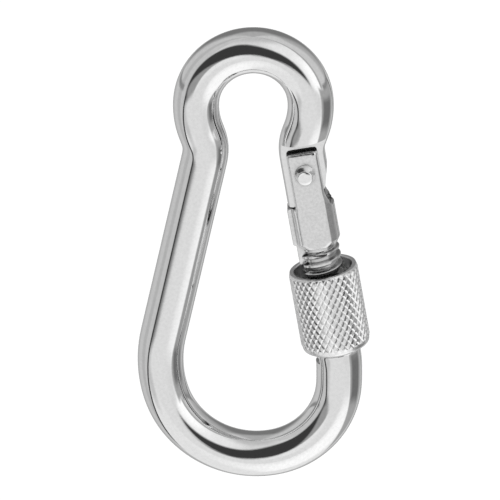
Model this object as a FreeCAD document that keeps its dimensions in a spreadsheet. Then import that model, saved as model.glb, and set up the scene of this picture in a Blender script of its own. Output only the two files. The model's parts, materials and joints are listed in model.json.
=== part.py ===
"""Spring snap hook with a screw-lock sleeve, keyring size.

A round stainless bar is bent into a pear: a small eye on top, a large loop below. The
gate hangs on a rivet in the bar's flattened tang, a spring behind a plunger holds it
closed, and a knurled sleeve screws down over the joint between gate and bar.

Two frames are used. The part frame has its origin at the centre of the small eye, +Z up,
+Y to the back, and the gate on the +X side. Every piece is drawn in the gate frame: origin
on the rivet's axis, +Z up along the gate, +Y along the rivet. One placement, the tilt of
the gate, carries each piece from the gate frame to the part frame.
"""
import FreeCAD, Part
import math
import os

import Sketcher
from FreeCAD import Placement, Rotation, Vector

SIZES = [
    # round bar and its bends, from the top of the small eye anticlockwise
    ("bar_diameter", 6.0),
    ("top_bend_radius", 7.45),
    ("top_bend_angle", 85.4),
    ("side_bend_radius", 10.2),
    ("side_bend_angle", 28.5),
    ("waist_bend_radius", 4.8),
    ("waist_bend_angle", 36.3),
    ("leg_length", 25.6),
    ("left_bend_radius", 16.1),
    ("left_bend_angle", 29.9),
    ("bottom_bend_radius", 12.4),
    ("bottom_bend_angle", 82.7),
    ("right_bend_radius", 10.5),
    ("right_bend_angle", 79.8),
    ("nose_bend_radius", 6.0),
    ("gate_bend_radius", 4.0),
    # gate line
    ("gate_tilt", 9.6),
    ("pivot_below_bend", 2.35),
    ("opening_angle", 25.0),
    # tang of the bar, between the ears of the gate
    ("tang_thickness", 2.6),
    ("tang_bore_diameter", 2.08),
    ("shoulder_height", 4.15),
    ("cam_offset", 1.3),
    ("cam_depth", 4.8),
    ("tang_toe_depth", 2.7),
    ("tang_toe_reach", 2.24),
    ("tang_side_taper", 13.7),
    # latch between gate and bar
    ("bar_end_depth", 25.65),
    ("gate_end_depth", 25.2),
    ("latch_stem_width", 1.8),
    ("latch_head_width", 3.2),
    ("latch_head_top", 26.3),
    ("latch_bottom", 27.0),
    ("latch_inner_reach", 2.45),
    ("latch_outer_reach", 1.6),
    ("latch_clearance", 0.08),
    ("latch_stop_gap", 0.04),
    # gate
    ("ear_height", 2.9),
    ("ear_width", 4.1),
    ("ear_depth", 4.8),
    ("ear_runout_radius", 1.7),
    ("across_flats", 4.9),
    ("flat_depth", 11.9),
    ("gate_shoulder_depth", 10.6),
    ("slot_width", 2.7),
    ("slot_depth", 5.1),
    ("plunger_slot_depth", 15.0),
    ("plunger_slot_reach", 1.2),
    ("spring_bore_diameter", 2.2),
    ("spring_bore_depth", 20.4),
    # screw thread of gate and sleeve
    ("thread_diameter", 5.34),
    ("thread_pitch", 1.25),
    ("thread_height", 0.5),
    ("thread_start", 10.9),
    ("thread_end", 24.4),
    ("thread_clearance", 0.1),
    # rivet
    ("rivet_diameter", 2.0),
    ("rivet_head_base", 2.66),
    ("rivet_head_tip", 1.96),
    ("rivet_head_height", 1.4),
    # plunger and spring
    ("plunger_length", 8.07),
    ("plunger_width", 2.6),
    ("plunger_proud", 3.2),
    ("plunger_step_depth", 10.2),
    ("plunger_step_reach", 2.8),
    ("plunger_inner_reach", 1.1),
    ("plunger_clearance", 0.03),
    ("plunger_guide_diameter", 1.1),
    ("plunger_guide_length", 1.5),
    ("spring_wire_diameter", 0.32),
    ("spring_mean_diameter", 1.7),
    ("spring_coils", 9.0),
    # sleeve
    ("sleeve_diameter", 9.1),
    ("sleeve_top_depth", 14.1),
    ("sleeve_bottom_depth", 25.28),
    ("sleeve_mouth_diameter", 7.7),
    ("sleeve_mouth_depth", 3.65),
    ("sleeve_foot_diameter", 6.24),
    ("sleeve_foot_depth", 3.0),
    ("ring_inner_diameter", 5.8),
    ("ring_thickness", 0.35),
    ("ring_clearance", 0.03),
]

doc = FreeCAD.newDocument("spring_snap_hook")
sheet = doc.addObject("Spreadsheet::Sheet", "sizes")
for row, (word, number) in enumerate(SIZES, start=1):
    sheet.set("A%d" % row, word)
    sheet.set("B%d" % row, str(number))
    sheet.setAlias("B%d" % row, word)
doc.recompute()


def size(word):
    """Value of one cell of the sheet."""
    return float(getattr(sheet, word))


# ---------------------------------------------------------------- frames and centre line

def turn(direction, angle_deg):
    """Direction turned anticlockwise in the XZ plane."""
    a = math.radians(angle_deg)
    x, z = direction
    return (x * math.cos(a) - z * math.sin(a), x * math.sin(a) + z * math.cos(a))


class Route:
    """Chain of straight runs and tangent bends in the XZ plane of the part frame."""

    def __init__(self, point, direction):
        self.point = point
        self.direction = direction
        self.pieces = []

    def straight(self, length, alias=None):
        x, z = self.point
        dx, dz = self.direction
        end = (x + dx * length, z + dz * length)
        self.pieces.append(("line", self.point, end, None, alias))
        self.point = end

    def bend(self, radius, angle_deg, alias=None):
        """Positive angle bends to the left of the direction of travel."""
        side = 1.0 if angle_deg > 0 else -1.0
        x, z = self.point
        dx, dz = self.direction
        centre = (x - dz * radius * side, z + dx * radius * side)
        spoke = (x - centre[0], z - centre[1])
        middle = turn(spoke, angle_deg / 2)
        last = turn(spoke, angle_deg)
        through = (centre[0] + middle[0], centre[1] + middle[1])
        end = (centre[0] + last[0], centre[1] + last[1])
        self.pieces.append(("arc", self.point, end, through, alias))
        self.point = end
        self.direction = turn(self.direction, angle_deg)


def gate_side_route():
    """From the top of the eye, over its right side, to the start of the straight tang."""
    route = Route((0.0, size("top_bend_radius")), (1.0, 0.0))
    route.bend(size("top_bend_radius"), -size("top_bend_angle"), "top_bend_radius")
    route.bend(size("side_bend_radius"), -size("side_bend_angle"), "side_bend_radius")
    back = size("top_bend_angle") + size("side_bend_angle") - 90.0 + size("gate_tilt")
    route.bend(size("gate_bend_radius"), back, "gate_bend_radius")
    return route


def leg_side_route(axis_point, axis_direction):
    """From the top of the eye, down the leg and round the loop, to the end of the bar."""
    route = Route((0.0, size("top_bend_radius")), (-1.0, 0.0))
    route.bend(size("top_bend_radius"), size("top_bend_angle"), "top_bend_radius")
    route.bend(size("side_bend_radius"), size("side_bend_angle"), "side_bend_radius")
    route.bend(size("waist_bend_radius"), -size("waist_bend_angle"), "waist_bend_radius")
    route.straight(size("leg_length"), "leg_length")
    route.bend(size("left_bend_radius"), size("left_bend_angle"), "left_bend_radius")
    route.bend(size("bottom_bend_radius"), size("bottom_bend_angle"), "bottom_bend_radius")
    route.bend(size("right_bend_radius"), size("right_bend_angle"), "right_bend_radius")
    # the upright run ends where the bend to the gate line begins
    reach = (route.point[0] - axis_point[0]) / axis_direction[0]
    meet = axis_point[1] + reach * axis_direction[1]
    tangent = size("nose_bend_radius") * math.tan(math.radians(size("gate_tilt") / 2))
    route.straight(meet - tangent - route.point[1])
    route.bend(size("nose_bend_radius"), size("gate_tilt"), "nose_bend_radius")
    route.straight(reach - tangent - size("bar_end_depth"))
    return route


right_side = gate_side_route()
axis_direction = right_side.direction
PIVOT = (
    right_side.point[0] + axis_direction[0] * size("pivot_below_bend"),
    right_side.point[1] + axis_direction[1] * size("pivot_below_bend"),
)
left_side = leg_side_route(PIVOT, axis_direction)
GATE_FRAME = Placement(
    Vector(PIVOT[0], 0, PIVOT[1]), Rotation(Vector(0, 1, 0), -size("gate_tilt"))
)
print("rivet axis at x %.4f z %.4f" % PIVOT)


def in_gate_frame(point):
    """Point of the part frame's XZ plane, in the gate frame."""
    there = GATE_FRAME.inverse().multVec(Vector(point[0], 0, point[1]))
    return there.x, there.z


# ---------------------------------------------------------------- drawing helpers

def new_body(label):
    body = doc.addObject("PartDesign::Body", label)
    body.Label = label
    return body


def origin_plane(body, role):
    for feature in body.Origin.OriginFeatures:
        if feature.Role == role:
            return feature
    raise RuntimeError("no plane %s" % role)


def new_sketch(body, name, role, offset=None):
    """Sketch on one of the body's own origin planes, moved off it by a placement."""
    sketch = body.newObject("Sketcher::SketchObject", name)
    sketch.AttachmentSupport = [(origin_plane(body, role), "")]
    sketch.MapMode = "FlatFace"
    if offset is not None:
        sketch.AttachmentOffset = offset
    return sketch


def raised(distance):
    return Placement(Vector(0, 0, distance), Rotation())


def flat_point(x, z):
    return Vector(x, z, 0)


def bind(sketch, index, name, expression):
    """Names a constraint and binds its value to the sheet."""
    sketch.renameConstraint(index, name)
    sketch.setExpression("Constraints." + name, expression)


def add_polygon(sketch, points):
    """Closed outline of straight edges, joined at their ends. Returns the first index."""
    first = sketch.GeometryCount
    count = len(points)
    for i in range(count):
        start = flat_point(*points[i])
        end = flat_point(*points[(i + 1) % count])
        sketch.addGeometry(Part.LineSegment(start, end), False)
    for i in range(count):
        pair = (first + i, 2, first + (i + 1) % count, 1)
        sketch.addConstraint(Sketcher.Constraint("Coincident", *pair))
    return first


def bind_point(sketch, edge, label, x_expression=None, z_expression=None):
    """Binds where an edge starts, measured from the sketch's origin, to the sheet."""
    start = sketch.getPoint(edge, 1)
    for axis, expression, value in (
        ("DistanceX", x_expression, start.x),
        ("DistanceY", z_expression, start.y),
    ):
        if expression is None:
            continue
        index = sketch.addConstraint(Sketcher.Constraint(axis, -1, 1, edge, 1, value))
        bind(sketch, index, label + axis[-1].lower(), expression)


def add_rectangle(sketch, label, left, right, bottom, top):
    """Rectangle whose four sides are (value, expression) pairs."""
    corners = [
        (left[0], bottom[0]),
        (right[0], bottom[0]),
        (right[0], top[0]),
        (left[0], top[0]),
    ]
    first = add_polygon(sketch, corners)
    sketch.addConstraint(Sketcher.Constraint("Horizontal", first))
    sketch.addConstraint(Sketcher.Constraint("Vertical", first + 1))
    sketch.addConstraint(Sketcher.Constraint("Horizontal", first + 2))
    sketch.addConstraint(Sketcher.Constraint("Vertical", first + 3))
    bind_point(sketch, first, label + "_low_", left[1], bottom[1])
    bind_point(sketch, first + 2, label + "_high_", right[1], top[1])
    return first


def add_circle(sketch, label, radius, expression, x=0.0, z=0.0):
    """Circle whose radius is bound to the sheet; its centre stays put."""
    circle = Part.Circle(flat_point(x, z), Vector(0, 0, 1), radius)
    index = sketch.addGeometry(circle, False)
    if x == 0.0 and z == 0.0:
        sketch.addConstraint(Sketcher.Constraint("Coincident", index, 3, -1, 1))
    made = sketch.addConstraint(Sketcher.Constraint("Radius", index, radius))
    bind(sketch, made, label, expression)
    return index


def pair(word, factor=1.0, shift=0.0):
    """Value and expression of factor x cell + shift."""
    value = size(word) * factor + shift
    return value, "sizes.%s * %r + %r" % (word, factor, shift)


def fixed(value):
    return value, None


def removed(body, feature, what):
    """A cut has to take material away."""
    doc.recompute()
    before = feature.BaseFeature.Shape.Volume
    after = feature.Shape.Volume
    if not after < before - 1e-6:
        raise RuntimeError("%s cut nothing in %s" % (what, body.Label))


def new_pocket(body, sketch, name, length, reverse, midplane=False, through=False):
    pocket = body.newObject("PartDesign::Pocket", name)
    pocket.Profile = sketch
    pocket.Length = length
    pocket.Reversed = reverse
    pocket.Midplane = midplane
    if through:
        pocket.Type = "ThroughAll"
    removed(body, pocket, name)
    return pocket


def new_turning(body, sketch, kind, name, axis, angle=360.0, reverse=False):
    """Revolution or Groove of a sketch about one of its own axes."""
    feature = body.newObject("PartDesign::" + kind, name)
    feature.Profile = sketch
    feature.ReferenceAxis = (sketch, [axis])
    feature.Angle = angle
    feature.Reversed = reverse
    doc.recompute()
    return feature


# ---------------------------------------------------------------- bar

def draw_route(sketch, pieces):
    """Centre line of the bar as tangent runs and bends, radii bound to the sheet."""
    edges = []
    for number, (kind, start, end, through, alias) in enumerate(pieces):
        first = flat_point(*in_gate_frame(start))
        last = flat_point(*in_gate_frame(end))
        if kind == "line":
            index = sketch.addGeometry(Part.LineSegment(first, last), False)
        else:
            middle = flat_point(*in_gate_frame(through))
            index = sketch.addGeometry(Part.Arc(first, middle, last), False)
        edges.append((index, kind, alias, number))
    return edges


def bind_route(sketch, edges):
    for index, kind, alias, number in edges:
        if alias is None:
            continue
        if kind == "arc":
            made = Sketcher.Constraint("Radius", index, size(alias))
        else:
            made = Sketcher.Constraint("Distance", index, size(alias))
        bind(sketch, sketch.addConstraint(made), "run%d" % number, "sizes." + alias)


def backwards(pieces):
    """The same chain, travelled the other way."""
    turned = []
    for kind, start, end, through, alias in reversed(pieces):
        turned.append((kind, end, start, through, alias))
    return turned


def cam_point(angle_deg):
    """Where tang and plunger touch with the gate open by this angle, in the bar."""
    a = math.radians(angle_deg)
    x = -size("cam_offset")
    z = -(size("cam_depth") + size("cam_offset") * a)
    return x * math.cos(a) + z * math.sin(a), -x * math.sin(a) + z * math.cos(a)


def make_bar():
    body = new_body("hook_body")
    profile = new_sketch(body, "bar_section", "XY_Plane", raised(-size("bar_end_depth")))
    profile.setExpression("AttachmentOffset.Base.z", "-sizes.bar_end_depth")
    add_circle(profile, "bar_radius", size("bar_diameter") / 2, "sizes.bar_diameter / 2")
    centre_line = new_sketch(body, "bar_centre_line", "XZ_Plane")
    pieces = backwards(left_side.pieces) + right_side.pieces
    tang_end = (
        PIVOT[0] + axis_direction[0] * (size("cam_depth") + 0.6),
        PIVOT[1] + axis_direction[1] * (size("cam_depth") + 0.6),
    )
    pieces.append(("line", right_side.point, tang_end, None, None))
    bind_route(centre_line, draw_route(centre_line, pieces))
    bar = body.newObject("PartDesign::AdditivePipe", "bar")
    bar.Profile = profile
    bar.Spine = centre_line
    bar.Transition = "Transformed"
    doc.recompute()
    # flat tang, milled from both faces below the shoulder
    for name, side in (("tang_front", -1), ("tang_back", 1)):
        plane = raised(-side * size("tang_thickness") / 2)
        sketch = new_sketch(body, name + "_outline", "XZ_Plane", plane)
        sketch.setExpression(
            "AttachmentOffset.Base.z", "%d * sizes.tang_thickness / 2" % -side
        )
        add_rectangle(
            sketch,
            name,
            fixed(-4.4),
            fixed(4.4),
            pair("cam_depth", -1.0, -1.6),
            pair("shoulder_height"),
        )
        new_pocket(body, sketch, name, 4.0, side < 0)
    # lower end of the tang: a cam that pushes the plunger by the same amount per degree,
    # and an outer side that tapers in between the ears
    sketch = new_sketch(body, "tang_end_outline", "XZ_Plane")
    cam = [cam_point(a) for a in (0.0, 14.0, 28.0)]
    toe = (size("tang_toe_reach"), -size("tang_toe_depth"))
    clear = size("bar_diameter") / 2 + 0.15
    taper = math.tan(math.radians(size("tang_side_taper")))
    side_top = toe[1] + (clear - toe[0]) / taper
    low = -(size("cam_depth") + 1.5)
    far = cam[2]
    arc = Part.Arc(flat_point(*cam[0]), flat_point(*cam[1]), flat_point(*cam[2]))
    sketch.addGeometry(arc, False)
    outline = [far, (-4.4, far[1]), (-4.4, low), (4.4, low)]
    outline += [(4.4, side_top), (clear, side_top), toe, cam[0]]
    for start, end in zip(outline, outline[1:]):
        segment = Part.LineSegment(flat_point(*start), flat_point(*end))
        sketch.addGeometry(segment, False)
    new_pocket(body, sketch, "tang_end", 8.0, False, midplane=True)
    # running bore for the rivet
    sketch = new_sketch(body, "tang_bore_outline", "XZ_Plane")
    radius = size("tang_bore_diameter") / 2
    add_circle(sketch, "tang_bore_radius", radius, "sizes.tang_bore_diameter / 2")
    new_pocket(body, sketch, "tang_bore", 8.0, False, midplane=True)
    cut_latch_slot(body)
    return body


def latch_outline(sketch, label, grow, top):
    """Half-turn section of the T latch: stem and wider head, grown by the clearance."""
    stem = size("latch_stem_width") / 2 + grow
    head = size("latch_head_width") / 2 + grow
    shoulder = -(size("latch_head_top") - grow)
    bottom = -(size("latch_bottom") + grow)
    points = [
        (-stem, top),
        (-stem, shoulder),
        (-head, shoulder),
        (-head, bottom),
        (head, bottom),
        (head, shoulder),
        (stem, shoulder),
        (stem, top),
    ]
    first = add_polygon(sketch, points)
    growth = " + %r" % grow
    bind_point(sketch, first, label + "_a", "-(sizes.latch_stem_width / 2%s)" % growth)
    bind_point(
        sketch,
        first + 3,
        label + "_b",
        "-(sizes.latch_head_width / 2%s)" % growth,
        "-(sizes.latch_bottom%s)" % growth,
    )


def reach_angle(reach):
    """Angle about the rivet that gives this sideways reach at the depth of the latch."""
    return math.degrees(math.asin(reach / size("latch_head_top")))


def latch_plane(outward_angle):
    """Plane through the rivet's axis, swung outward from the gate line."""
    return Placement(Vector(0, 0, 0), Rotation(Vector(1, 0, 0), -outward_angle))


def cut_latch_slot(body):
    """T slot in the end of the bar, curved about the rivet, open to the inside."""
    outer = reach_angle(size("latch_outer_reach") + size("latch_stop_gap"))
    sketch = new_sketch(body, "latch_slot_outline", "YZ_Plane", latch_plane(outer))
    latch_outline(sketch, "slot", size("latch_clearance"), -(size("bar_end_depth") - 1.2))
    slot = new_turning(body, sketch, "Groove", "latch_slot", "H_Axis", 14.0)
    removed(body, slot, "latch_slot")


# ---------------------------------------------------------------- gate

def thread_outline(sketch, label, middle, inner, outer, root_width, crest_width):
    """Trapezoid that a thread groove is cut with, wider at the open side."""
    points = [
        (inner, middle - root_width / 2),
        (outer, middle - crest_width / 2),
        (outer, middle + crest_width / 2),
        (inner, middle + root_width / 2),
    ]
    add_polygon(sketch, points)


def cut_thread(body, sketch, name, height, upward):
    helix = body.newObject("PartDesign::SubtractiveHelix", name)
    helix.Profile = sketch
    helix.ReferenceAxis = (sketch, ["V_Axis"])
    helix.Mode = "pitch-height-angle"
    helix.Pitch = size("thread_pitch")
    helix.Height = height
    helix.setExpression("Pitch", "sizes.thread_pitch")
    helix.LeftHanded = False
    helix.Reversed = not upward
    removed(body, helix, name)
    return helix


def make_gate():
    body = new_body("gate")
    # turned blank: plain round bar, then the reduced length that takes the thread
    sketch = new_sketch(body, "gate_section", "XZ_Plane")
    full = size("bar_diameter") / 2
    screw = size("thread_diameter") / 2
    step = -size("gate_shoulder_depth")
    points = [
        (0.0, size("ear_height")),
        (full, size("ear_height")),
        (full, step + 0.25),
        (full - 0.25, step),
        (screw - 0.35, step),
        (screw - 0.35, -size("thread_start") + 0.05),
        (screw, -size("thread_start") - 0.3),
        (screw, -size("gate_end_depth") + 0.4),
        (screw - 0.4, -size("gate_end_depth")),
        (0.0, -size("gate_end_depth")),
    ]
    first = add_polygon(sketch, points)
    bind_point(sketch, first + 1, "top_", "sizes.bar_diameter / 2", "sizes.ear_height")
    bind_point(sketch, first + 7, "screw_", "sizes.thread_diameter / 2")
    bind_point(sketch, first + 9, "end_", None, "-sizes.gate_end_depth")
    new_turning(body, sketch, "Revolution", "gate_blank", "V_Axis")
    # flats on both faces
    for name, side in (("flat_front", -1), ("flat_back", 1)):
        plane = raised(-side * size("across_flats") / 2)
        sketch = new_sketch(body, name + "_outline", "XZ_Plane", plane)
        sketch.setExpression(
            "AttachmentOffset.Base.z", "%d * sizes.across_flats / 2" % -side
        )
        add_rectangle(
            sketch, name, fixed(-4.0), fixed(4.0), pair("flat_depth", -1.0), fixed(4.0)
        )
        new_pocket(body, sketch, name, 2.0, side < 0)
    # ears narrowed on the inner side with a square step
    half = size("ear_width") / 2
    sketch = new_sketch(body, "ear_inner_side_outline", "XZ_Plane")
    add_rectangle(
        sketch,
        "ear_inner_side",
        fixed(-4.0),
        pair("ear_width", -0.5),
        pair("ear_depth", -1.0),
        fixed(4.0),
    )
    new_pocket(body, sketch, "ear_inner_side", 8.0, False, midplane=True)
    # and on the outer side with the runout of a round cutter
    sketch = new_sketch(body, "ear_outer_side_outline", "XZ_Plane")
    runout = size("ear_runout_radius")
    depth = -size("ear_depth")
    slant = runout * (1 - math.sqrt(0.5))
    sketch.addGeometry(
        Part.Arc(
            flat_point(half, depth + runout),
            flat_point(half + slant, depth + slant),
            flat_point(half + runout, depth),
        ),
        False,
    )
    run = [(half + runout, depth), (4.4, depth), (4.4, 4.0), (half, 4.0)]
    run.append((half, depth + runout))
    for start, end in zip(run, run[1:]):
        segment = Part.LineSegment(flat_point(*start), flat_point(*end))
        sketch.addGeometry(segment, False)
    bind_point(sketch, 0, "ear_outer_side_", "sizes.ear_width / 2")
    new_pocket(body, sketch, "ear_outer_side", 8.0, False, midplane=True)
    # slot for the tang, open to both sides
    sketch = new_sketch(body, "tang_slot_outline", "YZ_Plane")
    add_rectangle(
        sketch,
        "tang_slot",
        pair("slot_width", -0.5),
        pair("slot_width", 0.5),
        pair("slot_depth", -1.0),
        fixed(4.0),
    )
    new_pocket(body, sketch, "tang_slot", 10.0, False, midplane=True)
    # slot for the plunger, milled from the inner side, with a round lower end
    sketch = new_sketch(body, "plunger_slot_outline", "YZ_Plane", raised(1.2))
    sketch.setExpression("AttachmentOffset.Base.z", "sizes.plunger_slot_reach")
    radius = size("slot_width") / 2
    middle = -(size("plunger_slot_depth") - radius)
    top = -size("slot_depth") + 0.6
    sketch.addGeometry(
        Part.Arc(
            flat_point(radius, middle),
            flat_point(0, middle - radius),
            flat_point(-radius, middle),
        ),
        False,
    )
    run = [(-radius, middle), (-radius, top), (radius, top), (radius, middle)]
    for start, end in zip(run, run[1:]):
        segment = Part.LineSegment(flat_point(*start), flat_point(*end))
        sketch.addGeometry(segment, False)
    new_pocket(body, sketch, "plunger_slot", 6.0, False)
    # blind bore for the spring
    sketch = new_sketch(
        body, "spring_bore_outline", "XY_Plane", raised(-size("slot_depth"))
    )
    radius = size("spring_bore_diameter") / 2
    add_circle(sketch, "spring_bore_radius", radius, "sizes.spring_bore_diameter / 2")
    length = size("spring_bore_depth") - size("slot_depth")
    bore = new_pocket(body, sketch, "spring_bore", length, False)
    bore.setExpression("Length", "sizes.spring_bore_depth - sizes.slot_depth")
    # holes for the rivet
    sketch = new_sketch(body, "ear_bore_outline", "XZ_Plane")
    radius = size("rivet_diameter") / 2
    add_circle(sketch, "ear_bore_radius", radius, "sizes.rivet_diameter / 2")
    new_pocket(body, sketch, "ear_bore", 8.0, False, midplane=True)
    # T latch, curved about the rivet
    outer = reach_angle(size("latch_outer_reach"))
    inner = reach_angle(size("latch_inner_reach"))
    sketch = new_sketch(body, "latch_outline", "YZ_Plane", latch_plane(outer))
    latch_outline(sketch, "latch", 0.0, -(size("gate_end_depth") - 0.5))
    new_turning(body, sketch, "Revolution", "latch", "H_Axis", outer + inner)
    # thread
    sketch = new_sketch(body, "gate_thread_outline", "XZ_Plane")
    pitch = size("thread_pitch")
    root = screw - size("thread_height")
    thread_outline(
        sketch,
        "groove",
        -size("thread_end"),
        root,
        screw + 0.2,
        0.3 * pitch,
        0.3 * pitch + 2 * 0.62 * (size("thread_height") + 0.2),
    )
    height = size("thread_end") - size("thread_start") - 0.35
    cut_thread(body, sketch, "gate_thread", height, True)
    return body


# ---------------------------------------------------------------- rivet, plunger, spring

def make_rivet():
    body = new_body("hinge_rivet")
    sketch = new_sketch(body, "rivet_section", "YZ_Plane")
    shank = size("rivet_diameter") / 2
    base = size("rivet_head_base") / 2
    tip = size("rivet_head_tip") / 2
    face = size("across_flats") / 2
    top = face + size("rivet_head_height")
    points = [
        (-top, 0.0),
        (-top, tip - 0.12),
        (-top + 0.1, tip),
        (-face, base),
        (-face, shank),
        (face, shank),
        (face, base),
        (top - 0.1, tip),
        (top, tip - 0.12),
        (top, 0.0),
    ]
    first = add_polygon(sketch, points)
    bind_point(sketch, first + 4, "shank_", "-sizes.across_flats / 2", "sizes.rivet_diameter / 2")
    bind_point(sketch, first + 6, "head_", None, "sizes.rivet_head_base / 2")
    new_turning(body, sketch, "Revolution", "rivet", "H_Axis")
    return body


def make_plunger():
    body = new_body("spring_plunger")
    sketch = new_sketch(body, "plunger_outline", "XZ_Plane")
    left = -size("plunger_proud")
    right = size("plunger_inner_reach")
    top = -(size("cam_depth") + size("plunger_clearance"))
    bottom = top - size("plunger_length")
    step = (-size("plunger_step_reach"), -size("plunger_step_depth"))
    points = [
        (left, top - 0.35),
        (left + 0.3, top),
        (right, top),
        (right, bottom),
        (step[0] + 0.3, bottom),
        (step[0], bottom + 0.3),
        step,
        (left, step[1] + 0.4),
    ]
    first = add_polygon(sketch, list(reversed(points)))
    bind_point(sketch, first + 5, "top_", "sizes.plunger_inner_reach")
    pad = body.newObject("PartDesign::Pad", "plunger_block")
    pad.Profile = sketch
    pad.Length = size("plunger_width")
    pad.setExpression("Length", "sizes.plunger_width")
    pad.Midplane = True
    doc.recompute()
    sketch = new_sketch(body, "guide_outline", "XY_Plane", raised(bottom + 0.4))
    radius = size("plunger_guide_diameter") / 2
    add_circle(sketch, "guide_radius", radius, "sizes.plunger_guide_diameter / 2")
    guide = body.newObject("PartDesign::Pad", "plunger_guide")
    guide.Profile = sketch
    guide.Length = size("plunger_guide_length") + 0.4
    guide.setExpression("Length", "sizes.plunger_guide_length + 0.4")
    guide.Reversed = True
    doc.recompute()
    return body


def spring_span():
    """Top and bottom of the spring's centre line."""
    wire = size("spring_wire_diameter") / 2
    seat = size("cam_depth") + size("plunger_clearance") + size("plunger_length")
    return -(seat + wire + 0.02), -(size("spring_bore_depth") - wire - 0.02)


def make_spring():
    body = new_body("gate_spring")
    top, bottom = spring_span()
    sketch = new_sketch(body, "wire_section", "XZ_Plane")
    middle = size("spring_mean_diameter") / 2
    radius = size("spring_wire_diameter") / 2
    add_circle(sketch, "wire_radius", radius, "sizes.spring_wire_diameter / 2", middle, bottom)
    coil = body.newObject("PartDesign::AdditiveHelix", "spring_coil")
    coil.Profile = sketch
    coil.ReferenceAxis = (sketch, ["V_Axis"])
    coil.Mode = "height-turns-angle"
    coil.Height = top - bottom
    coil.Turns = size("spring_coils")
    coil.setExpression("Turns", "sizes.spring_coils")
    doc.recompute()
    return body


# ---------------------------------------------------------------- sleeve

def make_sleeve():
    body = new_body("lock_sleeve")
    sketch = new_sketch(body, "sleeve_section", "XZ_Plane")
    outer = size("sleeve_diameter") / 2
    mouth = size("sleeve_mouth_diameter") / 2
    foot = size("sleeve_foot_diameter") / 2
    top = -size("sleeve_top_depth")
    bottom = -size("sleeve_bottom_depth")
    floor = top - size("sleeve_mouth_depth")
    roof = bottom + size("sleeve_foot_depth")
    bore = size("thread_diameter") / 2 - size("thread_height") + size("thread_clearance")
    rounding = 0.8
    low_arc = (
        outer - rounding * (1 - math.cos(math.radians(45))),
        bottom + rounding * (1 - math.sin(math.radians(45))),
    )
    outline = [
        (outer, bottom + rounding),
        (outer, top - 0.3),
        (outer - 0.3, top),
        (mouth + 0.15, top),
        (mouth, top - 0.15),
        (mouth, floor),
        (bore + 0.5, floor),
        (bore, floor - 0.5),
        (bore, roof + 0.5),
        (bore + 0.5, roof),
        (foot, roof),
        (foot, bottom + 0.15),
        (foot + 0.15, bottom),
        (outer - rounding, bottom),
    ]
    for start, end in zip(outline, outline[1:]):
        segment = Part.LineSegment(flat_point(*start), flat_point(*end))
        sketch.addGeometry(segment, False)
    arc = Part.Arc(flat_point(*outline[-1]), flat_point(*low_arc), flat_point(*outline[0]))
    sketch.addGeometry(arc, False)
    bind_point(sketch, 0, "outer_", "sizes.sleeve_diameter / 2")
    bind_point(sketch, 5, "mouth_", "sizes.sleeve_mouth_diameter / 2")
    bind_point(sketch, 10, "foot_", "sizes.sleeve_foot_diameter / 2")
    new_turning(body, sketch, "Revolution", "sleeve_blank", "V_Axis")
    # internal thread: its grooves lie half a pitch from those of the gate
    pitch = size("thread_pitch")
    steps = math.floor((size("thread_end") - (-roof)) / pitch)
    start = -size("thread_end") + (steps - 0.5) * pitch
    sketch = new_sketch(body, "sleeve_thread_outline", "XZ_Plane")
    major = size("thread_diameter") / 2 + size("thread_clearance")
    depth = size("thread_height")
    ridge = 0.7 * pitch - 2 * 0.62 * depth
    thread_outline(
        sketch,
        "groove",
        start,
        major,
        bore - 0.2,
        ridge + 0.16,
        ridge + 0.16 + 2 * 0.62 * (depth + 0.2),
    )
    height = floor - start + pitch
    cut_thread(body, sketch, "sleeve_thread", height, True)
    return body


def make_inner_ring():
    """Thin ring of the sleeve's own metal on the floor of its mouth."""
    body = new_body("sleeve_inner_ring")
    sketch = new_sketch(body, "ring_section", "XZ_Plane")
    gap = size("ring_clearance")
    floor = -(size("sleeve_top_depth") + size("sleeve_mouth_depth"))
    inner = size("ring_inner_diameter") / 2
    outer = size("sleeve_mouth_diameter") / 2 - gap
    add_rectangle(
        sketch,
        "ring",
        pair("ring_inner_diameter", 0.5),
        pair("sleeve_mouth_diameter", 0.5, -gap),
        fixed(floor + gap),
        fixed(floor + gap + size("ring_thickness")),
    )
    if not 0 < inner < outer:
        raise RuntimeError("the ring has no wall")
    new_turning(body, sketch, "Revolution", "ring", "V_Axis")
    return body


# ---------------------------------------------------------------- assembly and files

BODIES = [
    make_bar(),
    make_gate(),
    make_rivet(),
    make_plunger(),
    make_spring(),
    make_sleeve(),
    make_inner_ring(),
]
for piece in BODIES:
    piece.Placement = GATE_FRAME
doc.recompute()

for thing in doc.Objects:
    for state in thing.State:
        if state in ("Invalid", "Error"):
            raise RuntimeError("%s is %s" % (thing.Label, state))
for piece in BODIES:
    shape = piece.Shape
    if shape.isNull() or not shape.isValid() or len(shape.Solids) != 1:
        raise RuntimeError("%s has no single valid solid" % piece.Label)
    box = shape.BoundBox
    print(
        "%-18s %9.3f mm3  x %7.3f %7.3f  y %6.3f %6.3f  z %8.3f %7.3f"
        % (
            piece.Label,
            shape.Volume,
            box.XMin,
            box.XMax,
            box.YMin,
            box.YMax,
            box.ZMin,
            box.ZMax,
        )
    )

os.makedirs("parts", exist_ok=True)
for piece in BODIES:
    piece.Shape.exportStep(os.path.join("parts", piece.Label + ".step"))
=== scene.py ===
"""Looks of the spring snap hook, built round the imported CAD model.

Every piece is drawn in millimetres in the gate frame: origin on the rivet's axis, +Z up
along the gate, +X away from the loop, +Y along the rivet. The frame's own joints say where
that is, so each piece lands on its CAD node.
"""
import json
import math

import bmesh
import bpy
import numpy as np
from mathutils import Matrix, Vector


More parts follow.
